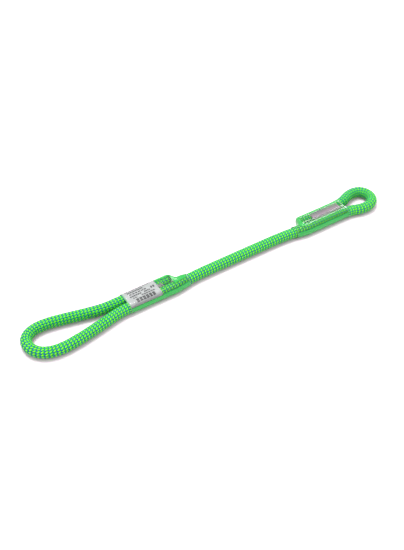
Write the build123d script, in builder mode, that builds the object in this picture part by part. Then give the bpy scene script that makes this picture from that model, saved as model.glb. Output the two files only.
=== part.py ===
from build123d import *
import math
import os

# A short rope sling with a sewn eye at each end, lying flat along X.
# The origin is on the surface it lies on, under the middle of its outline.
# One kernmantle rope runs from its far tail, round the large eye, along the middle,
# round the small eye and back to its near tail.  Each tail lies beside the standing
# strand and is sewn to it, inside a clear shrunk sleeve.

# ---------------------------------------------------------------- driving sizes, mm
ROPE_DIAMETER = 8.0
SHEATH_WALL = 1.0
CORE_STRAND_DIAMETER = 1.9
CORE_STRANDS_AROUND = 6
CORE_CLEARANCE = 0.03      # between the core strands and the sheath
SLEEVE_WALL = 0.3
SLEEVE_GAP = 0.2           # between the rope and the sleeve's bore
LABEL_THICKNESS = 0.1
LABEL_GAP = 0.02           # between the rope and the label
THREAD_DIAMETER = 0.45
STITCH_PITCH = 1.5
STITCH_WIDTH = 3.2
STITCH_CLEARANCE = 0.02    # between the thread and the ropes it lies on
STITCH_LENGTH = 24.0
SEAL_LENGTH = 1.2          # melted end of each tail
SEAL_ROUNDING = 0.9
BEND_GAP = 1.8             # between the ball and the socket at each bend of the rope

ROPE_RADIUS = ROPE_DIAMETER / 2
CORE_RADIUS = ROPE_RADIUS - SHEATH_WALL
SLEEVE_BORE_RADIUS = ROPE_RADIUS + SLEEVE_GAP
SLEEVE_RADIUS = SLEEVE_BORE_RADIUS + SLEEVE_WALL
SOCKET_RADIUS = ROPE_RADIUS + BEND_GAP
ROPE_HEIGHT = SLEEVE_RADIUS   # the sleeves rest on the surface, the rope's line runs level

# ---------------------------------------------------------------- stations along X
BIG_TAIL_END_X = -36.0
SMALL_TAIL_END_X = 80.0
BIG_STANDING_Y = -4.0      # the standing strand and the tail, inside each splice
BIG_TAIL_Y = 4.2
SMALL_STANDING_Y = -4.4
SMALL_TAIL_Y = 4.4
BIG_EYE_BEND_X = -79.0
BIG_SPAN_BEND_X = -1.0
SMALL_SPAN_BEND_X = 48.5
SMALL_EYE_BEND_X = 125.0
BETWEEN_STRANDS_Y = 0.1
PAST_THE_ENDS_X = 160.0    # clear of both eyes
BIG_LABEL_START_X = -71.6
LABEL_LENGTH = 25.0
LABEL_NEAR_EDGE_ANGLE = 18.0    # above the strand's middle, on the standing side
LABEL_FAR_EDGE_ANGLE = -60.0    # below the strand's middle, on the tail side
BIG_STITCH_X = -54.0            # middle of each row of stitches
SMALL_STITCH_X = 100.0

# The rope's line: the corners of its straight runs, from tail end to tail end
ROUTE = [
    (BIG_TAIL_END_X, BIG_TAIL_Y),
    (-74.0, BIG_TAIL_Y),
    (-87.0, 4.1),
    (-101.0, 7.1),
    (-115.0, 10.6),
    (-127.0, 13.0),
    (-137.5, 12.3),
    (-144.4, 6.4),
    (-144.0, -3.6),
    (-137.3, -10.6),
    (-127.0, -12.9),
    (-115.0, -11.8),
    (-102.0, -9.5),
    (-88.0, -6.4),
    (-76.5, BIG_STANDING_Y),
    (-34.0, BIG_STANDING_Y),
    (-19.5, -1.75),
    (10.0, -1.6),
    (38.0, -1.55),
    (64.0, -1.7),
    (78.0, SMALL_STANDING_Y),
    (119.5, SMALL_STANDING_Y),
    (128.5, -8.2),
    (138.0, -8.2),
    (144.4, -3.5),
    (145.0, 4.3),
    (140.0, 10.3),
    (130.0, 10.1),
    (119.5, SMALL_TAIL_Y),
    (SMALL_TAIL_END_X, SMALL_TAIL_Y),
]
ARC_SHARE = 0.45           # of the shorter run beside a corner, taken up by its arc


def corner_radii(points):
    """The radius of the arc at each corner, as large as its two runs allow."""
    radii = []
    for before, corner, after in zip(points, points[1:], points[2:]):
        arriving = Vector(*corner) - Vector(*before)
        leaving = Vector(*after) - Vector(*corner)
        half_turn = math.radians(arriving.get_angle(leaving)) / 2
        shorter_run = min(arriving.length, leaving.length)
        radii.append(ARC_SHARE * shorter_run / math.tan(half_turn))
    return radii


ROUTE_RADII = corner_radii(ROUTE)
for corner, radius in zip(ROUTE[1:], ROUTE_RADII):
    print(f"corner {corner}: arc radius {radius:.1f} mm")

with BuildLine(Plane.XY.offset(ROPE_HEIGHT)) as route:
    FilletPolyline(*ROUTE, radius=ROUTE_RADII)

route_wire = route.wire()
route_start = Plane(origin=route_wire @ 0, z_dir=route_wire % 0)


def bend_plane(x, strand, towards):
    """The plane across the rope where its line crosses a given X, facing +X (towards 1) or -X (towards -1)."""
    for edge in route_wire.edges():
        for point in edge.intersect(Axis((x, -2 * ROPE_DIAMETER, ROPE_HEIGHT), (0, 1, 0))) or []:
            place = Vector(point)
            if (place.Y > BETWEEN_STRANDS_Y) == (strand == "tail"):
                along = edge.tangent_at(place)
                facing = along if along.X * towards > 0 else -along
                return Plane(origin=place, z_dir=facing)


# ---------------------------------------------------------------- whole rope, to be cut up
with BuildPart() as whole_rope:
    with BuildSketch(route_start):
        Circle(ROPE_RADIUS)
    sweep(path=route_wire)

with BuildPart() as whole_core:
    with BuildSketch(route_start):
        Circle(CORE_RADIUS)
    sweep(path=route_wire)

with BuildPart() as whole_core_strands:
    with BuildSketch(route_start):
        Circle(CORE_STRAND_DIAMETER / 2)
        with PolarLocations(CORE_RADIUS - CORE_STRAND_DIAMETER / 2 - CORE_CLEARANCE, CORE_STRANDS_AROUND):
            Circle(CORE_STRAND_DIAMETER / 2)
    sweep(path=route_wire)

section_area = math.pi * ROPE_RADIUS**2
whole_rope_length = whole_rope.part.volume / section_area
print(f"rope: line {route_wire.length:.1f} mm, volume over section {whole_rope_length:.1f} mm")

# Where the rope bends: a ball on the splice's side turns in a socket on the other side
big_eye_tail_bend = bend_plane(BIG_EYE_BEND_X, "tail", towards=-1)
big_eye_standing_bend = bend_plane(BIG_EYE_BEND_X, "standing", towards=-1)
big_span_bend = bend_plane(BIG_SPAN_BEND_X, "standing", towards=1)
small_span_bend = bend_plane(SMALL_SPAN_BEND_X, "standing", towards=-1)
small_eye_standing_bend = bend_plane(SMALL_EYE_BEND_X, "standing", towards=1)
small_eye_tail_bend = bend_plane(SMALL_EYE_BEND_X, "tail", towards=1)
for name, bend in (("big", big_span_bend), ("small", small_span_bend)):
    print(f"{name} span bend at {bend.origin.X:.3f}, {bend.origin.Y:.3f}, {bend.origin.Z:.3f}")

os.makedirs("parts", exist_ok=True)


def splice_strand(rope, bends, strand):
    """The strand of the rope that lies behind all of these bend planes, with nothing on its ends."""
    with BuildPart(mode=Mode.PRIVATE) as piece:
        add(rope)
        for bend in bends:
            split(bisect_by=bend, keep=Keep.BOTTOM)
    on_tail_side = strand == "tail"
    return piece.part.solids().filter_by(lambda solid: (solid.center().Y > BETWEEN_STRANDS_Y) == on_tail_side)


def stretch_between(rope, x_from, x_to):
    """The solids of the rope between two planes of equal X."""
    with BuildPart(mode=Mode.PRIVATE) as piece:
        add(rope)
        split(bisect_by=Plane.YZ.offset(x_from), keep=Keep.TOP)
        split(bisect_by=Plane.YZ.offset(x_to), keep=Keep.BOTTOM)
    return piece.part.solids()


def save(part, label):
    """Name a finished piece and write it."""
    part.label = label
    export_step(part, f"parts/{label}.step")


def half_ball(bend, radius):
    """Half a ball on the end of the rope at a bend, its flat side on the rope's end."""
    with Locations(bend):
        Sphere(radius, arc_size1=0, arc_size2=90, align=(Align.CENTER, Align.CENTER, Align.MIN))


def ball_ended(name, bends, strand):
    """The sheath and the core of a splice's strand, closed by half a ball at each bend."""
    with BuildPart() as hollow:
        add(splice_strand(whole_core.part, bends, strand))
        for bend in bends:
            half_ball(bend, CORE_RADIUS)
    with BuildPart() as sheath:
        add(splice_strand(whole_rope.part, bends, strand))
        for bend in bends:
            half_ball(bend, ROPE_RADIUS)
        add(hollow.part, mode=Mode.SUBTRACT)
    with BuildPart() as core:
        add(splice_strand(whole_core_strands.part, bends, strand))
    save(sheath.part, f"{name}_sheath")
    save(core.part, f"{name}_core")


def socket_ended(name, x_from, x_to, bends):
    """The sheath and the core between two bends, hollowed round the ball at each bend."""
    centres = [bend.origin for bend in bends]
    with BuildPart() as sheath:
        add(stretch_between(whole_rope.part, x_from, x_to))
        add(stretch_between(whole_core.part, x_from, x_to), mode=Mode.SUBTRACT)
        with Locations(*centres):
            Sphere(SOCKET_RADIUS, mode=Mode.SUBTRACT)
    with BuildPart() as core:
        add(stretch_between(whole_core_strands.part, x_from, x_to))
        with Locations(*centres):
            Sphere(SOCKET_RADIUS, mode=Mode.SUBTRACT)
    save(sheath.part, f"{name}_sheath")
    save(core.part, f"{name}_core")


# ---------------------------------------------------------------- the rope's stretches
socket_ended("big_eye", -PAST_THE_ENDS_X, BIG_EYE_BEND_X, [big_eye_tail_bend, big_eye_standing_bend])
ball_ended("big_tail", [big_eye_tail_bend], "tail")
ball_ended("big_standing", [big_eye_standing_bend, big_span_bend], "standing")
socket_ended("span", BIG_SPAN_BEND_X, SMALL_SPAN_BEND_X, [big_span_bend, small_span_bend])
ball_ended("small_standing", [small_span_bend, small_eye_standing_bend], "standing")
ball_ended("small_tail", [small_eye_tail_bend], "tail")
socket_ended("small_eye", SMALL_EYE_BEND_X, PAST_THE_ENDS_X, [small_eye_tail_bend, small_eye_standing_bend])

# ---------------------------------------------------------------- melted ends of the tails
with BuildPart(Plane(origin=(BIG_TAIL_END_X, BIG_TAIL_Y, ROPE_HEIGHT), z_dir=(1, 0, 0))) as big_tail_seal:
    Cylinder(ROPE_RADIUS, SEAL_LENGTH, align=(Align.CENTER, Align.CENTER, Align.MIN))
    fillet(big_tail_seal.edges().sort_by(Axis.X)[-1], SEAL_ROUNDING)
save(big_tail_seal.part, "big_tail_seal")

with BuildPart(Plane(origin=(SMALL_TAIL_END_X, SMALL_TAIL_Y, ROPE_HEIGHT), z_dir=(-1, 0, 0))) as small_tail_seal:
    Cylinder(ROPE_RADIUS, SEAL_LENGTH, align=(Align.CENTER, Align.CENTER, Align.MIN))
    fillet(small_tail_seal.edges().sort_by(Axis.X)[0], SEAL_ROUNDING)
save(small_tail_seal.part, "small_tail_seal")

# ---------------------------------------------------------------- clear shrunk sleeves
# Each section is (x, Y of the near strand's middle, Y of the far strand's middle)
BIG_SLEEVE_SECTIONS = [
    (-72.2, BIG_STANDING_Y, BIG_TAIL_Y),
    (-34.4, BIG_STANDING_Y, BIG_TAIL_Y),
    (-31.5, -3.6, -1.4),
    (-27.5, -3.0, -1.4),
    (-23.5, -2.45, -2.25),
]
SMALL_SLEEVE_SECTIONS = [
    (117.5, SMALL_STANDING_Y - 0.1, SMALL_TAIL_Y + 0.35),
    (113.0, SMALL_STANDING_Y, SMALL_TAIL_Y),
    (78.4, SMALL_STANDING_Y, SMALL_TAIL_Y),
    (75.6, -3.9, -3.2),
    (69.3, -2.85, -2.65),
]


def sleeve(sections):
    """A thin shell round both strands, drawn down past the tail's end onto the standing strand."""
    with BuildPart() as shell:
        for radius, mode in ((SLEEVE_RADIUS, Mode.ADD), (SLEEVE_BORE_RADIUS, Mode.SUBTRACT)):
            for x, near_y, far_y in sections:
                with BuildSketch(Plane.YZ.offset(x)):
                    with Locations(((near_y + far_y) / 2, ROPE_HEIGHT)):
                        SlotCenterToCenter(far_y - near_y, 2 * radius)
            loft(ruled=True, mode=mode)
    return shell.part


save(sleeve(BIG_SLEEVE_SECTIONS), "big_sleeve")
save(sleeve(SMALL_SLEEVE_SECTIONS), "small_sleeve")

# ---------------------------------------------------------------- label under the big sleeve
LABEL_INNER_RADIUS = ROPE_RADIUS + LABEL_GAP
with BuildPart() as label:
    with BuildSketch(Plane.YZ.offset(BIG_LABEL_START_X)):
        with Locations(((BIG_STANDING_Y + BIG_TAIL_Y) / 2, ROPE_HEIGHT)):
            SlotCenterToCenter(BIG_TAIL_Y - BIG_STANDING_Y, 2 * (LABEL_INNER_RADIUS + LABEL_THICKNESS))
            SlotCenterToCenter(BIG_TAIL_Y - BIG_STANDING_Y, 2 * LABEL_INNER_RADIUS, mode=Mode.SUBTRACT)
        near_edge = math.radians(180 - LABEL_NEAR_EDGE_ANGLE)
        far_edge = math.radians(LABEL_FAR_EDGE_ANGLE)
        reach = ROPE_DIAMETER
        with BuildLine(mode=Mode.ADD):
            Polyline(
                (BIG_STANDING_Y, ROPE_HEIGHT),
                (BIG_STANDING_Y + reach * math.cos(near_edge), ROPE_HEIGHT + reach * math.sin(near_edge)),
                (BIG_STANDING_Y - reach, ROPE_HEIGHT - reach),
                (BIG_TAIL_Y + reach * math.cos(far_edge), ROPE_HEIGHT + reach * math.sin(far_edge)),
                (BIG_TAIL_Y, ROPE_HEIGHT),
                close=True,
            )
        make_face(mode=Mode.SUBTRACT)
    extrude(amount=LABEL_LENGTH)
save(label.part, "label")


# ---------------------------------------------------------------- sewing threads
def stitches(middle_x, standing_y, tail_y, side):
    """Zigzag thread lying across both strands, on top (side 1) or underneath (side -1)."""
    turns = round(STITCH_LENGTH / STITCH_PITCH)
    middle_y = (standing_y + tail_y) / 2
    half_width = STITCH_WIDTH / 2
    mitred_tip = THREAD_DIAMETER / 2 / math.sin(math.atan(STITCH_PITCH / STITCH_WIDTH))
    from_strand_middle = (tail_y - standing_y) / 2 - half_width - mitred_tip
    rope_surface = math.sqrt(ROPE_RADIUS**2 - from_strand_middle**2)
    lie = ROPE_HEIGHT + side * (rope_surface + STITCH_CLEARANCE + THREAD_DIAMETER / 2)
    points = []
    for turn in range(turns + 1):
        x = middle_x - STITCH_LENGTH / 2 + turn * STITCH_PITCH
        y = middle_y + (half_width if turn % 2 else -half_width)
        points.append((x, y, lie))
    with BuildPart() as thread:
        with BuildLine() as zigzag:
            Polyline(*points)
        with BuildSketch(Plane(origin=points[0], z_dir=Vector(*points[1]) - Vector(*points[0]))):
            Circle(THREAD_DIAMETER / 2)
        sweep(path=zigzag.wire(), transition=Transition.RIGHT)
    return thread.part


save(stitches(BIG_STITCH_X, BIG_STANDING_Y, BIG_TAIL_Y, side=1), "big_needle_thread")
save(stitches(BIG_STITCH_X, BIG_STANDING_Y, BIG_TAIL_Y, side=-1), "big_bobbin_thread")
save(stitches(SMALL_STITCH_X, SMALL_STANDING_Y, SMALL_TAIL_Y, side=1), "small_needle_thread")
save(stitches(SMALL_STITCH_X, SMALL_STANDING_Y, SMALL_TAIL_Y, side=-1), "small_bobbin_thread")
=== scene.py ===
import math

import bmesh
import bpy
import numpy as np
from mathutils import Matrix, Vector


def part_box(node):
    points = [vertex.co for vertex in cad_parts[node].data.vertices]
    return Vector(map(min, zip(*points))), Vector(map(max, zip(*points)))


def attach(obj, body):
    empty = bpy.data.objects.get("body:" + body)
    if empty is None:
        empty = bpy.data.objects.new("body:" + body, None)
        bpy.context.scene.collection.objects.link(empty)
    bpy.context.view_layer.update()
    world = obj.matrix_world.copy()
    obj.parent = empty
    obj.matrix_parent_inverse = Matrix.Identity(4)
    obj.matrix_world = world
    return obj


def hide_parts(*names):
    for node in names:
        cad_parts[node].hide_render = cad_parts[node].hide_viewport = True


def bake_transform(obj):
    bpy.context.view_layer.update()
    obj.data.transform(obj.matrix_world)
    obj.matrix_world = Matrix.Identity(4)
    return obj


# A short sewn sling of green kernmantle rope: an eye at each end, a clear sleeve over each
# splice, a printed label under the big one.  The CAD model is the fixed frame.
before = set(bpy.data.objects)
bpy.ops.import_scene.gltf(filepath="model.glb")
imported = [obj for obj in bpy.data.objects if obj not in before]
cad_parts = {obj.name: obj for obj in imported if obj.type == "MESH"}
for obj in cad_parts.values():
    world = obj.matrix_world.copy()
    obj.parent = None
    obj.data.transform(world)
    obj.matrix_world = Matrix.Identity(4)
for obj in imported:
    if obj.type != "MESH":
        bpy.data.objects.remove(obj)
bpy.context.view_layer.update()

MM = 0.001
UP = np.array([0.0, 0.0, 1.0])

# ---------------------------------------------------------------- camera
LOOK_AT = Vector((-12.65, -3.84, 4.5)) * MM
CAMERA_AZIMUTH = math.radians(-32.4)
CAMERA_ELEVATION = math.radians(44.5)
CAMERA_DISTANCE = 0.6195
CAMERA_LENS = 57.3          # mm


def add_camera():
    """A camera at the photograph's viewing angle."""
    back = Vector((
        math.sin(CAMERA_AZIMUTH) * math.cos(CAMERA_ELEVATION),
        -math.cos(CAMERA_AZIMUTH) * math.cos(CAMERA_ELEVATION),
        math.sin(CAMERA_ELEVATION),
    ))
    data = bpy.data.cameras.new("camera")
    data.lens = CAMERA_LENS
    camera = bpy.data.objects.new("camera", data)
    camera.location = LOOK_AT + back * CAMERA_DISTANCE
    camera.rotation_mode = "QUATERNION"
    camera.rotation_quaternion = (-back).to_track_quat("-Z", "Y")
    bpy.context.scene.collection.objects.link(camera)
    bpy.context.scene.camera = camera


add_camera()

# ---------------------------------------------------------------- the rope's route
ROPE_DIAMETER = 8 * MM
ROPE_RADIUS = ROPE_DIAMETER / 2
ROPE_HEIGHT = 4.5 * MM
BIG_STANDING_Y = -4.0 * MM  # the standing strand and the tail, inside each splice
BIG_TAIL_Y = 4.2 * MM
SMALL_STANDING_Y = -4.4 * MM
SMALL_TAIL_Y = 4.4 * MM
ROUTE = [                   # corners of the rope's line from tail end to tail end: X and Y, mm
    (-36.0, 4.2),
    (-74.0, 4.2),
    (-87.0, 4.1),
    (-101.0, 7.1),
    (-115.0, 10.6),
    (-127.0, 13.0),
    (-137.5, 12.3),
    (-144.4, 6.4),
    (-144.0, -3.6),
    (-137.3, -10.6),
    (-127.0, -12.9),
    (-115.0, -11.8),
    (-102.0, -9.5),
    (-88.0, -6.4),
    (-76.5, -4.0),
    (-34.0, -4.0),
    (-19.5, -1.75),
    (10.0, -1.6),
    (38.0, -1.55),
    (64.0, -1.7),
    (78.0, -4.4),
    (119.5, -4.4),
    (128.5, -8.2),
    (138.0, -8.2),
    (144.4, -3.5),
    (145.0, 4.3),
    (140.0, 10.3),
    (130.0, 10.1),
    (119.5, 4.4),
    (80.0, 4.4),
]
BIG_TAIL_END_X = ROUTE[0][0] * MM
SMALL_TAIL_END_X = ROUTE[-1][0] * MM
SPLINE_ORDER = 3
SPLINE_RESOLUTION = 64
SAME_PLACE = 1e-9           # metres


def read_line():
    """Close points along the route's NURBS spline."""
    curve = bpy.data.curves.new("route", "CURVE")
    curve.dimensions = "3D"
    curve.resolution_u = SPLINE_RESOLUTION
    spline = curve.splines.new("NURBS")
    spline.points.add(len(ROUTE) - 1)
    for point, (x, y) in zip(spline.points, ROUTE):
        point.co = (x * MM, y * MM, ROPE_HEIGHT, 1)
    spline.order_u = SPLINE_ORDER
    spline.use_endpoint_u = True
    route = bpy.data.objects.new("route", curve)
    bpy.context.scene.collection.objects.link(route)
    bpy.context.view_layer.update()
    mesh = bpy.data.meshes.new_from_object(route)
    points = np.array([vertex.co for vertex in mesh.vertices])
    bpy.data.meshes.remove(mesh)
    bpy.data.objects.remove(route)
    bpy.data.curves.remove(curve)
    return points


def distances(points):
    """How far each point is from the first one, along the line through them."""
    steps = np.linalg.norm(np.diff(points, axis=0), axis=1)
    return np.concatenate([[0.0], np.cumsum(steps)])


LINE = read_line()
LINE = LINE[np.concatenate([[True], np.diff(distances(LINE)) > SAME_PLACE])]
ALONG = distances(LINE)
TANGENT = np.gradient(LINE, ALONG, axis=0)
TANGENT /= np.linalg.norm(TANGENT, axis=1)[:, None]
LEFT = np.cross(UP, TANGENT)
ROPE_LENGTH = float(ALONG[-1])


def interpolated(values, s):
    """Vectors given along the line, read at these distances along the rope."""
    return np.stack([np.interp(s, ALONG, values[:, axis]) for axis in range(3)], axis=-1)


def on_rope(s, angle, radius):
    """Points at distances along the rope, angles round it (0 is left, a quarter turn up), radii."""
    leftward = np.cos(angle)[..., None] * interpolated(LEFT, s)
    upward = np.sin(angle)[..., None] * UP
    radius = np.broadcast_to(radius, np.shape(s))[..., None]
    return interpolated(LINE, s) + radius * (leftward + upward)


def crossing(x, after):
    """How far along the rope its standing strand first meets this X, past a distance."""
    for here in range(len(ALONG) - 1):
        if ALONG[here] < after or LINE[here, 1] > 0:
            continue
        if (LINE[here, 0] - x) * (LINE[here + 1, 0] - x) <= 0:
            return float(ALONG[here])


# ---------------------------------------------------------------- meshes
CAPS = 2                    # the last faces of a shell


def shell(rings, side_materials=(0,), uv=None):
    """A shell through rings of points, closed by two caps, with a material for each side."""
    count, around = rings.shape[:2]
    grid = np.arange(count * around).reshape(count, around)
    here, ahead = grid[:-1], grid[1:]
    sides = np.stack([here, np.roll(here, -1, 1), np.roll(ahead, -1, 1), ahead], -1)
    faces = sides.reshape(-1, 4).tolist() + [grid[0][::-1].tolist(), grid[-1].tolist()]
    materials = np.tile(np.resize(side_materials, around), count - 1).tolist()
    materials += [side_materials[0]] * CAPS
    if uv is None:
        uv = np.stack(np.meshgrid(np.arange(count), np.arange(around), indexing="ij"), -1) * 1.0
    return rings.reshape(-1, 3), faces, materials, uv.reshape(-1, 2)


def make_piece(name, shells, materials):
    """One object made of closed shells."""
    points, faces, indices, uvs = [], [], [], []
    offset = 0
    for shell_points, shell_faces, shell_materials, shell_uv in shells:
        points.append(shell_points)
        uvs.append(shell_uv)
        faces += [[corner + offset for corner in face] for face in shell_faces]
        indices += shell_materials
        offset += len(shell_points)
    mesh = bpy.data.meshes.new(name)
    mesh.from_pydata(np.concatenate(points).tolist(), [], faces)
    mesh.polygons.foreach_set("material_index", indices)
    mesh.polygons.foreach_set("use_smooth", [True] * len(faces))
    corners = np.empty(len(mesh.loops), int)
    mesh.loops.foreach_get("vertex_index", corners)
    weave = mesh.uv_layers.new(name="weave")
    weave.data.foreach_set("uv", np.concatenate(uvs)[corners].ravel())
    for material in materials:
        mesh.materials.append(material)
    work = bmesh.new()
    work.from_mesh(mesh)
    if work.calc_volume(signed=True) < 0:
        bmesh.ops.reverse_faces(work, faces=work.faces)
        work.to_mesh(mesh)
    work.free()
    piece = bpy.data.objects.new(name, mesh)
    bpy.context.scene.collection.objects.link(piece)
    return piece


def tube(points, radius, sides=8):
    """A round tube along points, closed at both ends."""
    tangent = np.gradient(points, axis=0)
    tangent /= np.linalg.norm(tangent, axis=1)[:, None]
    across = np.cross(tangent, UP)
    across /= np.linalg.norm(across, axis=1)[:, None]
    above = np.cross(across, tangent)
    angle = np.arange(sides) * 2 * math.pi / sides
    sideways = np.cos(angle)[None, :, None] * across[:, None]
    upward = np.sin(angle)[None, :, None] * above[:, None]
    rings = points[:, None] + radius * (sideways + upward)
    along = distances(points)[:, None]
    uv = np.stack(np.broadcast_arrays(along / MM, angle[None] * radius / MM), -1)
    return shell(rings, uv=uv)


# ---------------------------------------------------------------- materials
def new_material(name):
    """A new material, its nodes, its links and its surface shader."""
    material = bpy.data.materials.new(name)
    material.use_nodes = True
    nodes = material.node_tree.nodes
    return material, nodes, material.node_tree.links, nodes["Principled BSDF"]


def linear(red, green, blue):
    """A colour given as sRGB bytes."""
    def channel(value):
        value /= 255
        return value / 12.92 if value <= 0.04045 else ((value + 0.055) / 1.055) ** 2.4
    return (channel(red), channel(green), channel(blue), 1.0)


COARSE_DETAIL = 2.0
FINE_DETAIL = 3.0


def noise_node(nodes, links, scale, detail=COARSE_DETAIL, vector=None):
    """Noise over the object's own space, or over another vector."""
    node = nodes.new("ShaderNodeTexNoise")
    node.inputs["Scale"].default_value = scale
    node.inputs["Detail"].default_value = detail
    if vector is None:
        vector = nodes.new("ShaderNodeTexCoord").outputs["Object"]
    links.new(vector, node.inputs["Vector"])
    return node


def ramp_node(nodes, links, factor, stops):
    """A blend between two colours, each at its position."""
    node = nodes.new("ShaderNodeValToRGB")
    for element, (position, colour) in zip(node.color_ramp.elements, stops):
        element.position = position
        element.color = colour
    links.new(factor, node.inputs["Fac"])
    return node


def range_node(nodes, links, value, low, high):
    """A value from 0 to 1, stretched from low to high."""
    node = nodes.new("ShaderNodeMapRange")
    node.inputs["To Min"].default_value = low
    node.inputs["To Max"].default_value = high
    links.new(value, node.inputs["Value"])
    return node


def math_node(nodes, links, operation, value, other):
    """One step of arithmetic on a value and either a number or another value."""
    node = nodes.new("ShaderNodeMath")
    node.operation = operation
    links.new(value, node.inputs[0])
    if isinstance(other, float):
        node.inputs[1].default_value = other
    else:
        links.new(other, node.inputs[1])
    return node


def mix_node(nodes, links, factor, first, second):
    """Two shaders mixed by a factor."""
    node = nodes.new("ShaderNodeMixShader")
    links.new(factor, node.inputs["Fac"])
    links.new(first, node.inputs[1])
    links.new(second, node.inputs[2])
    return node


def bump_node(nodes, links, height, strength, distance):
    """Small relief in the surface's normals."""
    node = nodes.new("ShaderNodeBump")
    node.inputs["Strength"].default_value = strength
    node.inputs["Distance"].default_value = distance
    links.new(height, node.inputs["Height"])
    return node


FIBRE_STRETCH = (0.9, 9.0, 1.0)    # long along the yarn, thin across it
FIBRE_SLANT = math.radians(9)
FIBRE_SCALE = 1.6
FIBRE_RANGE = (0.3, 0.62)          # of the noise, from the shade to the full colour
FIBRE_ROUGHNESS = (0.45, 0.7)
DYE_SCALE = 260.0
DYE_SHARE = 0.22
YARN_SPECULAR = 0.3
YARN_SHEEN = 0.12
SHEEN_ROUGHNESS = 0.4
SHEEN_TINT = (215, 255, 225)


def yarn_material(name, colour, shade, sheen=YARN_SHEEN):
    """A braided yarn: fine fibres along it, and dye that varies a little from place to place."""
    material, nodes, links, surface = new_material(name)
    weave = nodes.new("ShaderNodeUVMap")
    weave.uv_map = "weave"
    stretch = nodes.new("ShaderNodeMapping")
    stretch.inputs["Scale"].default_value = FIBRE_STRETCH
    stretch.inputs["Rotation"].default_value = (0.0, 0.0, FIBRE_SLANT)
    links.new(weave.outputs["UV"], stretch.inputs["Vector"])
    fibres = noise_node(nodes, links, FIBRE_SCALE, FINE_DETAIL, stretch.outputs["Vector"])
    stops = zip(FIBRE_RANGE, (linear(*shade), linear(*colour)))
    colours = ramp_node(nodes, links, fibres.outputs["Fac"], stops)
    patches = noise_node(nodes, links, DYE_SCALE)
    mix = nodes.new("ShaderNodeMix")
    mix.data_type = "RGBA"
    mix.blend_type = "MULTIPLY"
    mix.inputs["Factor"].default_value = DYE_SHARE
    links.new(colours.outputs["Color"], mix.inputs["A"])
    links.new(patches.outputs["Fac"], mix.inputs["B"])
    links.new(mix.outputs["Result"], surface.inputs["Base Color"])
    rough = range_node(nodes, links, fibres.outputs["Fac"], *FIBRE_ROUGHNESS)
    links.new(rough.outputs["Result"], surface.inputs["Roughness"])
    bump = bump_node(nodes, links, fibres.outputs["Fac"], strength=0.5, distance=0.12 * MM)
    links.new(bump.outputs["Normal"], surface.inputs["Normal"])
    surface.inputs["Specular IOR Level"].default_value = YARN_SPECULAR
    surface.inputs["Sheen Weight"].default_value = sheen
    surface.inputs["Sheen Roughness"].default_value = SHEEN_ROUGHNESS
    surface.inputs["Sheen Tint"].default_value = linear(*SHEEN_TINT)
    return material


FILM_RIPPLE_SCALE = 420.0
FILM_GLOSS_ROUGHNESS = 0.16
FILM_IOR = 1.45
SLANT_BLEND = 0.5
SLANT_POWER = 2.5


def film_material(name, tint, haze_colour, milk, edge_milk, side_milk=0.0, mirror_share=1.0):
    """Clear shrunk tube, glossy: milky where it is seen aslant, or stands off the rope."""
    material, nodes, links, surface = new_material(name)
    nodes.remove(surface)
    ripple = noise_node(nodes, links, FILM_RIPPLE_SCALE)
    bump = bump_node(nodes, links, ripple.outputs["Fac"], strength=0.3, distance=0.2 * MM)
    clear = nodes.new("ShaderNodeBsdfTransparent")
    clear.inputs["Color"].default_value = linear(*tint)
    haze = nodes.new("ShaderNodeBsdfDiffuse")
    haze.inputs["Color"].default_value = linear(*haze_colour)
    gloss = nodes.new("ShaderNodeBsdfGlossy")
    gloss.inputs["Roughness"].default_value = FILM_GLOSS_ROUGHNESS
    slant = nodes.new("ShaderNodeLayerWeight")
    slant.inputs["Blend"].default_value = SLANT_BLEND
    steep = math_node(nodes, links, "POWER", slant.outputs["Facing"], SLANT_POWER)
    aslant = range_node(nodes, links, steep.outputs["Value"], milk, edge_milk)
    place = nodes.new("ShaderNodeUVMap")
    place.uv_map = "weave"
    off_rope = nodes.new("ShaderNodeSeparateXYZ")  # its Y: how far the film stands off
    links.new(place.outputs["UV"], off_rope.inputs["Vector"])
    sides = math_node(nodes, links, "MULTIPLY", off_rope.outputs["Y"], side_milk)
    hazing = math_node(nodes, links, "MAXIMUM", aslant.outputs["Result"], sides.outputs["Value"])
    milky = mix_node(
        nodes, links, hazing.outputs["Value"], clear.outputs["BSDF"], haze.outputs["BSDF"],
    )
    mirror = nodes.new("ShaderNodeFresnel")
    mirror.inputs["IOR"].default_value = FILM_IOR
    for node in (haze, gloss, mirror):
        links.new(bump.outputs["Normal"], node.inputs["Normal"])
    share = math_node(nodes, links, "MULTIPLY", mirror.outputs["Fac"], mirror_share)
    glossy = mix_node(
        nodes, links, share.outputs["Value"], milky.outputs["Shader"], gloss.outputs["BSDF"],
    )
    links.new(glossy.outputs["Shader"], nodes["Material Output"].inputs["Surface"])
    return material


GRAIN_RANGE = (0.35, 0.6)          # of the noise, from the shade to the full colour
ROUGHNESS_SPREAD = 0.1


def plain_material(name, colour, shade, scale, roughness, bump_height):
    """A surface whose colour and height vary a little, by noise."""
    material, nodes, links, surface = new_material(name)
    grain = noise_node(nodes, links, scale, FINE_DETAIL)
    stops = zip(GRAIN_RANGE, (linear(*shade), linear(*colour)))
    colours = ramp_node(nodes, links, grain.outputs["Fac"], stops)
    links.new(colours.outputs["Color"], surface.inputs["Base Color"])
    bump = bump_node(nodes, links, grain.outputs["Fac"], strength=0.4, distance=bump_height)
    links.new(bump.outputs["Normal"], surface.inputs["Normal"])
    lowest, highest = roughness - ROUGHNESS_SPREAD, roughness + ROUGHNESS_SPREAD
    rough = range_node(nodes, links, grain.outputs["Fac"], lowest, highest)
    links.new(rough.outputs["Result"], surface.inputs["Roughness"])
    return material


CLEAR = (255, 255, 255)
MINT = (48, 176, 78)
PALE_MINT = (120, 220, 142)
PALE_GREY = (224, 226, 225)

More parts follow.
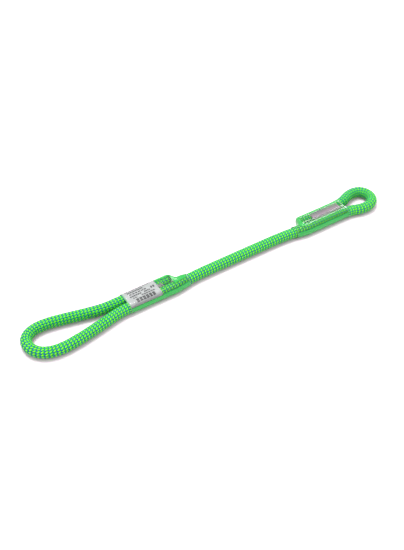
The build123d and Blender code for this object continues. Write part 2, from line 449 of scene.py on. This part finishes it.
GREEN = yarn_material("yarn_green", (4, 202, 54), (0, 154, 38))
BLUE = yarn_material("yarn_blue", (0, 74, 162), (0, 50, 130))
YELLOW = yarn_material("yarn_yellow_green", (142, 246, 24), (90, 216, 14))
# dark green, seen only between the yarns: painted shade in the gaps of the braid
GAP_SHADE_LINING = yarn_material("sheath_lining_gap_shade", (10, 110, 40), (6, 84, 34), sheen=0.0)
CORE = yarn_material("core_yarn", (236, 236, 228), (205, 205, 198), sheen=0.1)
THREAD = yarn_material("sewing_thread", (182, 158, 176), (136, 118, 134), sheen=0.1)
MELTED = plain_material(
    "melted_end", (20, 150, 60), (10, 92, 44),
    scale=900.0, roughness=0.3, bump_height=0.2 * MM,
)
PAPER = plain_material(
    "label_paper", (170, 173, 173), (160, 163, 163),
    scale=350.0, roughness=0.35, bump_height=0.05 * MM,
)
INK = plain_material(
    "label_ink", (16, 18, 20), (44, 47, 50),
    scale=1200.0, roughness=0.45, bump_height=0.03 * MM,
)
FILM = film_material("clear_film", CLEAR, MINT, milk=0.06, edge_milk=0.35, side_milk=0.9)
FILM_OVER_LABEL = film_material(
    "clear_film_over_label", (254, 254, 254), PALE_GREY, milk=0.02, edge_milk=0.6,
)
FILM_INSIDE = film_material(
    "clear_film_inside", CLEAR, MINT, milk=0.0, edge_milk=0.05, mirror_share=0.0,
)
RIM = film_material("film_rim", (248, 255, 250), PALE_MINT, milk=0.25, edge_milk=0.7)

# ---------------------------------------------------------------- braided sheath
CARRIERS = 12                # each way round
PITCH = 2.4 * MM             # along the rope, from one crossing to the next of its kind
MIDDLE_RADIUS = 3.56 * MM
WAVE = 0.2 * MM              # in and out of a carrier as it passes over and under
LINING_RADIUS = 3.2 * MM
CARRIER_HALF_WIDTH = 0.72    # mm
CARRIER_PROFILE = [          # across and outward, mm: two yarns side by side
    (-CARRIER_HALF_WIDTH, -0.1),
    (-0.3, 0.24),
    (0.12, 0.08),
    (0.45, 0.24),
    (CARRIER_HALF_WIDTH, -0.1),
]
BRAID_STEP = PITCH / 7.5     # between the rings of a carrier
BRAID_ANGLE = math.atan(2 * math.pi * MIDDLE_RADIUS / CARRIERS / PITCH)
GREEN_INDEX, BLUE_INDEX, YELLOW_INDEX, LINING_INDEX = range(4)
LINING_SIDES = 20
LINING_STEP = 1.5 * MM
CORE_STRANDS_AROUND = 6      # and one in the middle
CORE_LAY = 45 * MM
CORE_RING_RADIUS = 2.0 * MM
CORE_STRAND_RADIUS = 0.95 * MM
CORE_STEP = 2 * MM


def stretch_of(start, end, step):
    """Even distances along the rope from start to end, no further apart than a step."""
    return np.linspace(start, end, math.ceil((end - start) / step) + 1)


def carrier(start, end, number, way):
    """One flat pair of yarns, wound round the rope one way, over and under the others."""
    s = stretch_of(start, end, BRAID_STEP)
    turned = 2 * math.pi * (number / CARRIERS + way * s / (CARRIERS * PITCH))
    radius = MIDDLE_RADIUS + way * WAVE * np.cos(2 * math.pi * s / PITCH)
    columns, uv = [], []
    for across, outward in CARRIER_PROFILE:
        along = -way * math.sin(BRAID_ANGLE) * across * MM
        angle = turned + math.cos(BRAID_ANGLE) * across * MM / MIDDLE_RADIUS
        place = np.clip(s + along, 0, ROPE_LENGTH)
        columns.append(on_rope(place, angle, radius + outward * MM))
        along_yarn = s / MM / math.cos(BRAID_ANGLE)
        uv.append(np.stack([along_yarn, np.full_like(s, across + way * number)], -1))
    first = BLUE_INDEX if way > 0 else YELLOW_INDEX
    sides = (first, first, GREEN_INDEX, GREEN_INDEX, GREEN_INDEX)
    return shell(np.stack(columns, 1), sides, np.stack(uv, 1))


def lining(start, end):
    """A smooth tube under the braid, which closes the gaps between the yarns; its dark green is
    painted shade in those gaps.
    """
    angle = np.arange(LINING_SIDES) * 2 * math.pi / LINING_SIDES
    s, angle = np.meshgrid(stretch_of(start, end, LINING_STEP), angle, indexing="ij")
    uv = np.stack([s, angle * LINING_RADIUS], -1) / MM
    return shell(on_rope(s, angle, LINING_RADIUS), (LINING_INDEX,), uv)


def core_strand(start, end, number):
    """One of the seven strands inside: the first is in the middle, the others are laid round it."""
    s = stretch_of(start, end, CORE_STEP)
    if number:
        angle = 2 * math.pi * (number / CORE_STRANDS_AROUND + s / CORE_LAY)
        middle = on_rope(s, angle, CORE_RING_RADIUS)
    else:
        middle = interpolated(LINE, s)
    return tube(middle, CORE_STRAND_RADIUS)


def rope_piece(name, start, end, sheaths, cores):
    """A stretch of the rope with its core inside, in place of the named CAD sheaths and cores."""
    braid = [carrier(start, end, number, way) for way in (1, -1) for number in range(CARRIERS)]
    yarns = [GREEN, BLUE, YELLOW, GAP_SHADE_LINING]
    sheath = make_piece(f"{name}_rope", braid + [lining(start, end)], yarns)
    strands = [core_strand(start, end, number) for number in range(CORE_STRANDS_AROUND + 1)]
    core = make_piece(f"{name}_core_strands", strands, [CORE])
    for piece, nodes in ((sheath, sheaths), (core, cores)):
        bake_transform(piece)
        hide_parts(*nodes)


# Where one stretch ends and the next one starts: inside each splice, and halfway between them
BIG_JOIN = crossing(-50 * MM, after=60 * MM)
SPAN_JOIN = crossing(23.75 * MM, after=BIG_JOIN)
SMALL_JOIN = crossing(97 * MM, after=SPAN_JOIN)

rope_piece(
    "big_eye", 0.0, BIG_JOIN,
    sheaths=["big_eye_sheath", "big_tail_sheath"], cores=["big_eye_core", "big_tail_core"],
)
rope_piece(
    "big_half", BIG_JOIN, SPAN_JOIN,
    sheaths=["big_standing_sheath", "span_sheath"], cores=["big_standing_core", "span_core"],
)
rope_piece(
    "small_half", SPAN_JOIN, SMALL_JOIN,
    sheaths=["small_standing_sheath"], cores=["small_standing_core"],
)
rope_piece(
    "small_eye", SMALL_JOIN, ROPE_LENGTH,
    sheaths=["small_eye_sheath", "small_tail_sheath"], cores=["small_eye_core", "small_tail_core"],
)


# ---------------------------------------------------------------- melted tail ends
MELT_SIDES = 32
MELT_STATIONS = [            # distance out from the rope's cut, and radius, mm
    (0.0, 3.1),
    (0.05, 3.92),
    (0.35, 3.98),
    (0.7, 3.8),
    (0.98, 3.35),
    (1.14, 2.6),
    (1.2, 1.5),
    (1.2, 0.5),
]
BROAD_LUMP = 0.02            # share of the radius
FINE_LUMP = 0.015
SUNKEN = 0.06                # mm, how far the dome is drawn in between its lumps


def melted_end(name, x, y, towards, node, body):
    """The cut end of a tail, melted into a low uneven dome."""
    angle = np.arange(MELT_SIDES) * 2 * math.pi / MELT_SIDES
    rings = []
    for out, radius in MELT_STATIONS:
        broad = BROAD_LUMP * np.sin(3 * angle + out)
        fine = FINE_LUMP * np.sin(7 * angle + 2 + 3 * out)
        lump = 1 + broad + fine
        reach = (out - SUNKEN * (1 + np.sin(4 * angle + radius))) * MM
        rings.append(np.stack([
            x + towards * np.clip(reach, 0, None),
            y + radius * lump * np.cos(angle) * MM,
            ROPE_HEIGHT + radius * lump * np.sin(angle) * MM,
        ], -1))
    piece = make_piece(name, [shell(np.stack(rings))], [MELTED])
    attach(piece, body)
    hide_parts(node)


melted_end("big_tail_melt", BIG_TAIL_END_X, BIG_TAIL_Y, 1, "big_tail_seal", "big_splice")
melted_end("small_tail_melt", SMALL_TAIL_END_X, SMALL_TAIL_Y, -1, "small_tail_seal", "small_splice")


# ---------------------------------------------------------------- contours round both strands
ARC_STEPS = 20               # round each strand's side
FLAT_STEPS = 12              # between the strands, above and below
CONTOUR_SIDES = 2 * (ARC_STEPS + FLAT_STEPS)
ARC = np.linspace(0, math.pi, ARC_STEPS, endpoint=False)
FLAT = np.linspace(0, 1, FLAT_STEPS, endpoint=False)


def contour(near_y, far_y, radius, sag):
    """Y and Z of points round two strands: near side, top, far side and underneath.

    The radius is one number for each point. The sag is how deep the contour dips between them.
    """
    level, upright = np.zeros(FLAT_STEPS), np.ones(FLAT_STEPS)
    middle = np.concatenate([
        np.full(ARC_STEPS, near_y),
        near_y + (far_y - near_y) * FLAT,
        np.full(ARC_STEPS, far_y),
        far_y + (near_y - far_y) * FLAT,
    ])
    sideways = np.concatenate([-np.sin(ARC), level, np.sin(ARC), level])
    upward = np.concatenate([-np.cos(ARC), upright, np.cos(ARC), -upright])
    dip = sag * np.sin(math.pi * FLAT) ** 2
    dips = np.concatenate([np.zeros(ARC_STEPS), dip, np.zeros(ARC_STEPS), -dip])
    return np.stack([middle + radius * sideways, ROPE_HEIGHT + radius * upward - dips], -1)


# ---------------------------------------------------------------- clear sleeves
BIG_SLEEVE_SECTIONS = [      # X, Y of the near strand's middle, Y of the far strand's middle, mm
    (-72.2, -4.0, 4.2),
    (-34.4, -4.0, 4.2),
    (-31.5, -3.6, -1.4),
    (-27.5, -3.0, -1.4),
    (-23.5, -2.45, -2.25),
]
SMALL_SLEEVE_SECTIONS = [
    (69.3, -2.85, -2.65),
    (75.6, -3.9, -3.2),
    (78.4, -4.4, 4.4),
    (113.0, -4.4, 4.4),
    (117.5, -4.5, 4.75),
]
FILM_OUTER_RADIUS = 4.45 * MM
FILM_INNER_RADIUS = 4.2 * MM
FILM_SAG = 0.5 * MM          # into the valley between the strands
FILM_STEP = 0.5 * MM
SMOOTHING = 2                # stations on either side
RIM_LENGTH = 0.7 * MM
RIM_RISE = 0.05 * MM
RIPPLE = 0.05 * MM
RIPPLES_AROUND = 3
RIPPLE_TWIST = 2.3 * MM
RIPPLE_LENGTH = 3.1 * MM
FILM_INDEX, RIM_INDEX, INSIDE_INDEX, OVER_LABEL_INDEX = range(4)
LABEL_LOW, LABEL_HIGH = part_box("label")
LABEL_SIDES = range(13, 48)  # the contour's sides that lie over the label

# Where the film stands off the rope. Angles in degrees above and below a strand's middle.
NEAR_HAZE_FROM, NEAR_HAZE_FULL = 44, 26
FAR_HAZE_FROM, FAR_HAZE_FULL = -10, 18
VALLEY_HAZE = 0.2            # where the film comes down onto the far strand
PAST_TAIL_HAZE = 0.85
PAST_TAIL_FROM, PAST_TAIL_FULL = 0.5 * MM, 1.5 * MM
DRAWN_IN, STILL_APART = 0.02, 0.12    # share of the strands' spacing


def smoothed(values, reach):
    """A running mean over this many values on either side."""
    padded = np.pad(values, reach, mode="edge")
    return np.convolve(padded, np.ones(2 * reach + 1) / (2 * reach + 1), mode="valid")


def smooth_rise(values, start, end):
    """From 0 at the start to 1 at the end, and level beyond both."""
    share = np.clip((values - start) / (end - start), 0, 1)
    return share * share * (3 - 2 * share)


def standing_off(past_tail):
    """How far the film stands off the rope round its contour, 0 to 1.

    It does so down both sides, and all round where it is past the tail's end.
    """
    arc = np.degrees(ARC)
    near = smooth_rise(arc - 90, NEAR_HAZE_FROM, NEAR_HAZE_FULL)
    above = np.full(FLAT_STEPS, past_tail)
    above[-1] = max(past_tail, VALLEY_HAZE)
    down_far = smooth_rise(arc, FAR_HAZE_FROM, FAR_HAZE_FULL) * (1 - past_tail)
    far = np.maximum(down_far, past_tail)
    return np.concatenate([near, above, far, np.full(FLAT_STEPS, past_tail)])


def sleeve_ring(x, near_y, far_y, radius, spread):
    """One ring of the film, whose valley is shallower the closer the strands are."""
    ring = contour(near_y, far_y, radius, FILM_SAG * spread)
    return np.column_stack([np.full(CONTOUR_SIDES, x), ring])


def sleeve_material(x, from_end, inside, side):
    """The film's material on one face."""
    if from_end < RIM_LENGTH:
        return RIM_INDEX
    if inside:
        return INSIDE_INDEX
    if LABEL_LOW[0] < x < LABEL_HIGH[0] and side in LABEL_SIDES:
        return OVER_LABEL_INDEX
    return FILM_INDEX


def sleeve(name, sections, tail_end_x, node, body):
    """A thin shrunk film round both strands, drawn in past the tail's end."""
    stations, near, far = np.array(sections).T * MM
    x = np.arange(stations[0], stations[-1] + FILM_STEP / 2, FILM_STEP)
    near = smoothed(np.interp(x, stations, near), SMOOTHING)
    far = smoothed(np.interp(x, stations, far), SMOOTHING)
    from_end = np.minimum(x - x[0], x[-1] - x)
    middle = len(x) // 2
    spread = (far - near) / (far[middle] - near[middle])
    turn = np.linspace(0, 2 * math.pi, CONTOUR_SIDES, endpoint=False)
    outer, inner = [], []
    for here, near_y, far_y, margin, share in zip(x, near, far, from_end, spread):
        wave = np.sin(RIPPLES_AROUND * turn + here / RIPPLE_TWIST) * np.sin(here / RIPPLE_LENGTH)
        rise = RIM_RISE if margin < RIM_LENGTH else 0.0
        radius = FILM_OUTER_RADIUS + rise + np.minimum(RIPPLE * wave, 0)
        outer.append(sleeve_ring(here, near_y, far_y, radius, share))
        inner.append(sleeve_ring(here, near_y, far_y, FILM_INNER_RADIUS, share))
    rings = np.stack(outer + inner[::-1])

    towards_neck = math.copysign(1.0, -tail_end_x)
    beyond = smooth_rise((x - tail_end_x) * towards_neck, PAST_TAIL_FROM, PAST_TAIL_FULL)
    apart = smooth_rise((far - near) / (far.max() - near.min()), DRAWN_IN, STILL_APART)
    off = np.stack([standing_off(share) for share in beyond * apart * PAST_TAIL_HAZE])
    off = np.concatenate([off, np.zeros_like(off)])
    along = np.broadcast_to(rings[:, :, 0] / MM, off.shape)
    points, faces, _, uv = shell(rings, uv=np.stack([along, off], -1))

    # The outer and the inner film are joined at both rims: the last ring meets the first one.
    faces = faces[:-CAPS]
    last = (len(rings) - 1) * CONTOUR_SIDES
    for side in range(CONTOUR_SIDES):
        ahead = (side + 1) % CONTOUR_SIDES
        faces.append([last + side, last + ahead, ahead, side])
    materials = [
        sleeve_material(here, margin, inside, side)
        for inside, order in ((False, 1), (True, -1))
        for here, margin in zip(x[::order], from_end[::order])
        for side in range(CONTOUR_SIDES)
    ]
    films = [FILM, RIM, FILM_INSIDE, FILM_OVER_LABEL]
    piece = make_piece(name, [(points, faces, materials, uv)], films)
    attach(piece, body)
    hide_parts(node)


sleeve("big_sleeve_film", BIG_SLEEVE_SECTIONS, BIG_TAIL_END_X, "big_sleeve", "big_splice")
sleeve("small_sleeve_film", SMALL_SLEEVE_SECTIONS, SMALL_TAIL_END_X, "small_sleeve", "small_splice")

# ---------------------------------------------------------------- printed label
LABEL_CELL = 0.25 * MM
LABEL_INNER_RADIUS = 4.04 * MM
LABEL_OUTER_RADIUS = 4.12 * MM
LABEL_NEAR_ARC = math.radians(61)     # from the near edge up to the near strand's top
LABEL_FAR_ARC = math.radians(150)     # from the far strand's top down to the far edge
LABEL_SAG = 0.5 * FILM_SAG
PAPER_INDEX, INK_INDEX = range(2)
PRINT = [
    # distance from the near edge, height, start and end along the label, dash, gap (all mm)
    (2.3, 3.2, 6.0, 21.0, 2.0, 0.5),
    (6.4, 1.2, 5.0, 8.2, 1.0, 0.5),
    (6.4, 1.2, 11.5, 22.0, 1.5, 0.25),
    (8.3, 1.2, 3.5, 12.5, 1.25, 0.25),
    (8.3, 1.2, 14.5, 19.0, 1.0, 0.25),
    (10.2, 1.2, 4.0, 17.5, 1.75, 0.5),
    (9.2, 2.2, 20.3, 23.4, 1.25, 0.5),
    (12.1, 1.2, 3.0, 15.5, 1.0, 0.25),
    (14.0, 1.4, 2.0, 21.5, 2.25, 0.5),
    (16.0, 1.4, 3.5, 23.0, 1.75, 0.5),
    (18.0, 1.4, 2.0, 18.0, 2.25, 0.5),
]


def inked(along, across):
    """Whether the generic print of bars and blocks covers this place on the label, in mm."""
    for near, height, start, end, dash, gap in PRINT:
        in_row = near <= across < near + height and start <= along < end
        if in_row and (along - start) % (dash + gap) < dash:
            return True
    return False


def label_place(across, radius):
    """Y and Z at a distance across the label from its near edge, for a radius round the strands."""
    near_length = LABEL_NEAR_ARC * LABEL_OUTER_RADIUS
    apart = BIG_TAIL_Y - BIG_STANDING_Y
    if across < near_length:
        angle = math.pi / 2 + LABEL_NEAR_ARC - across / LABEL_OUTER_RADIUS
        return BIG_STANDING_Y + radius * math.cos(angle), ROPE_HEIGHT + radius * math.sin(angle)
    flat = across - near_length
    if flat < apart:
        dip = LABEL_SAG * math.sin(math.pi * flat / apart) ** 2
        return BIG_STANDING_Y + flat, ROPE_HEIGHT + radius - dip
    angle = math.pi / 2 - (flat - apart) / LABEL_OUTER_RADIUS
    return BIG_TAIL_Y + radius * math.cos(angle), ROPE_HEIGHT + radius * math.sin(angle)


def label():
    """A printed tape over both strands, from low on the near side to far underneath."""
    arcs = (LABEL_NEAR_ARC + LABEL_FAR_ARC) * LABEL_OUTER_RADIUS
    width = arcs + BIG_TAIL_Y - BIG_STANDING_Y
    rows = round(width / LABEL_CELL)
    columns = round((LABEL_HIGH[0] - LABEL_LOW[0]) / LABEL_CELL)
    places = [row * width / rows for row in range(rows + 1)]
    outer = [label_place(across, LABEL_OUTER_RADIUS) for across in places]
    inner = [label_place(across, LABEL_INNER_RADIUS) for across in places]
    ring = np.array(outer + inner[::-1])
    around = len(ring)
    x = np.linspace(LABEL_LOW[0], LABEL_HIGH[0], columns + 1)
    rings = np.stack([np.column_stack([np.full(around, here), ring]) for here in x])
    uv = np.stack(np.meshgrid(x / MM, np.arange(around) * LABEL_CELL / MM, indexing="ij"), -1)
    points, faces, _, uv = shell(rings, uv=uv)
    materials = []
    for column in range(columns):
        for row in range(around):
            along = (column + 0.5) * LABEL_CELL / MM
            across = (row + 0.5) * width / rows / MM
            materials.append(INK_INDEX if row < rows and inked(along, across) else PAPER_INDEX)
    materials += [PAPER_INDEX] * CAPS
    piece = make_piece("printed_label", [(points, faces, materials, uv)], [PAPER, INK])
    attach(piece, "big_splice")
    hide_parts("label")


label()

# ---------------------------------------------------------------- sewing threads
THREAD_RADIUS = 0.24 * MM
THREAD_SIDES = 6
STITCH_PITCH = 1.1 * MM
STITCH_SHARES = (0.0, 0.06, 0.2, 0.35, 0.5, 0.65, 0.8, 0.94, 1.0)
STITCH_PASSES = (            # shift in pitches, and lift in thread radii
    (0.0, 0.0),
    (0.5, 0.6),
)
STITCH_SINK = 1.6            # thread radii, at each turn


def rope_surface(y, strands):
    """Height of the strands' surface above their middle, at this Y."""
    from_middle = min(abs(y - middle) for middle in strands)
    return math.sqrt(max(ROPE_RADIUS**2 - from_middle**2, 0.0))


def stitching(name, x_from, x_to, y_from, y_to, strands, side, node, body):
    """Zigzag sewing across both strands: two passes over the same place, sunk in at each turn."""
    turns = int((x_to - x_from) / STITCH_PITCH)
    shells = []
    for shift, lift in STITCH_PASSES:
        points = []
        for turn in range(turns):
            first, last = (y_from, y_to) if turn % 2 else (y_to, y_from)
            low, high = rope_surface(first, strands), rope_surface(last, strands)
            x = x_from + (turn + shift) * STITCH_PITCH
            for share in STITCH_SHARES:
                y = first + (last - first) * share
                lie = max(low * (1 - share) + high * share, rope_surface(y, strands))
                sunk = (STITCH_SINK if share in (0.0, 1.0) else -lift) * THREAD_RADIUS
                z = ROPE_HEIGHT + side * (lie - sunk)
                points.append((x + STITCH_PITCH * share, y, z))
        shells.append(tube(np.array(points), THREAD_RADIUS, THREAD_SIDES))
    piece = make_piece(name, shells, [THREAD])
    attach(piece, body)
    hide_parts(node)


for surface_side, word in ((1, "needle"), (-1, "bobbin")):
    stitching(
        f"big_{word}_stitching", -66 * MM, -42 * MM, -1.9 * MM, 2.1 * MM,
        strands=(BIG_STANDING_Y, BIG_TAIL_Y), side=surface_side,
        node=f"big_{word}_thread", body="big_splice",
    )
    stitching(
        f"small_{word}_stitching", 88 * MM, 114 * MM, -2.8 * MM, 5.0 * MM,
        strands=(SMALL_STANDING_Y, SMALL_TAIL_Y), side=surface_side,
        node=f"small_{word}_thread", body="small_splice",
    )


# ---------------------------------------------------------------- floor and light
FLOOR_HALF = 3.0
FLOOR_ROUGHNESS = 0.8
FLOOR_SHADE_STOPS = [              # distance from the middle, and colour: darker and pinkish near the sling, painted shade that deepens and tints the shadows round it
    (0.25, (239, 221, 234)),
    (0.6, (250, 250, 250)),
]


def add_floor():
    """A pale floor under the object, darker and pinkish near it: painted shade for its shadows."""
    mesh = bpy.data.meshes.new("floor")
    corners = [(x * FLOOR_HALF, y * FLOOR_HALF, 0) for x, y in ((-1, -1), (1, -1), (1, 1), (-1, 1))]
    mesh.from_pydata(corners, [], [(0, 1, 2, 3)])
    floor = bpy.data.objects.new("floor", mesh)
    material, nodes, links, surface = new_material("pale_floor")
    surface.inputs["Roughness"].default_value = FLOOR_ROUGHNESS
    place = nodes.new("ShaderNodeTexCoord")
    away = nodes.new("ShaderNodeVectorMath")
    away.operation = "LENGTH"
    links.new(place.outputs["Object"], away.inputs[0])
    stops = [(distance, linear(*colour)) for distance, colour in FLOOR_SHADE_STOPS]
    colours = ramp_node(nodes, links, away.outputs["Value"], stops)
    links.new(colours.outputs["Color"], surface.inputs["Base Color"])
    mesh.materials.append(material)
    bpy.context.scene.collection.objects.link(floor)


def add_lamp(name, azimuth, elevation, distance, size, power):
    """A square soft lamp, aimed at the origin.

    Its azimuth is counted from the main camera's right, counter-clockwise from above.
    """
    turn = math.radians(azimuth) + CAMERA_AZIMUTH
    rise = math.radians(elevation)
    level = math.cos(rise)
    towards = Vector((math.cos(turn) * level, math.sin(turn) * level, math.sin(rise)))
    data = bpy.data.lights.new(name, "AREA")
    data.energy = power
    data.size = size
    lamp = bpy.data.objects.new(name, data)
    lamp.location = towards * distance
    lamp.rotation_mode = "QUATERNION"
    lamp.rotation_quaternion = towards.to_track_quat("Z", "Y")
    bpy.context.scene.collection.objects.link(lamp)


def add_sky(strength):
    """Even white light from all round."""
    world = bpy.data.worlds.new("soft_room")
    world.use_nodes = True
    background = world.node_tree.nodes["Background"]
    background.inputs["Color"].default_value = (1.0, 1.0, 1.0, 1.0)
    background.inputs["Strength"].default_value = strength
    bpy.context.scene.world = world


add_floor()
add_lamp("key_lamp", azimuth=135, elevation=76, distance=1.2, size=0.7, power=15.5)
add_lamp("streak_lamp", azimuth=79, elevation=34, distance=1.25, size=0.24, power=1.5)
add_lamp("fill_lamp", azimuth=-60, elevation=60, distance=1.4, size=0.9, power=3)
add_sky(strength=0.93)
bpy.context.scene.view_settings.view_transform = "Standard"
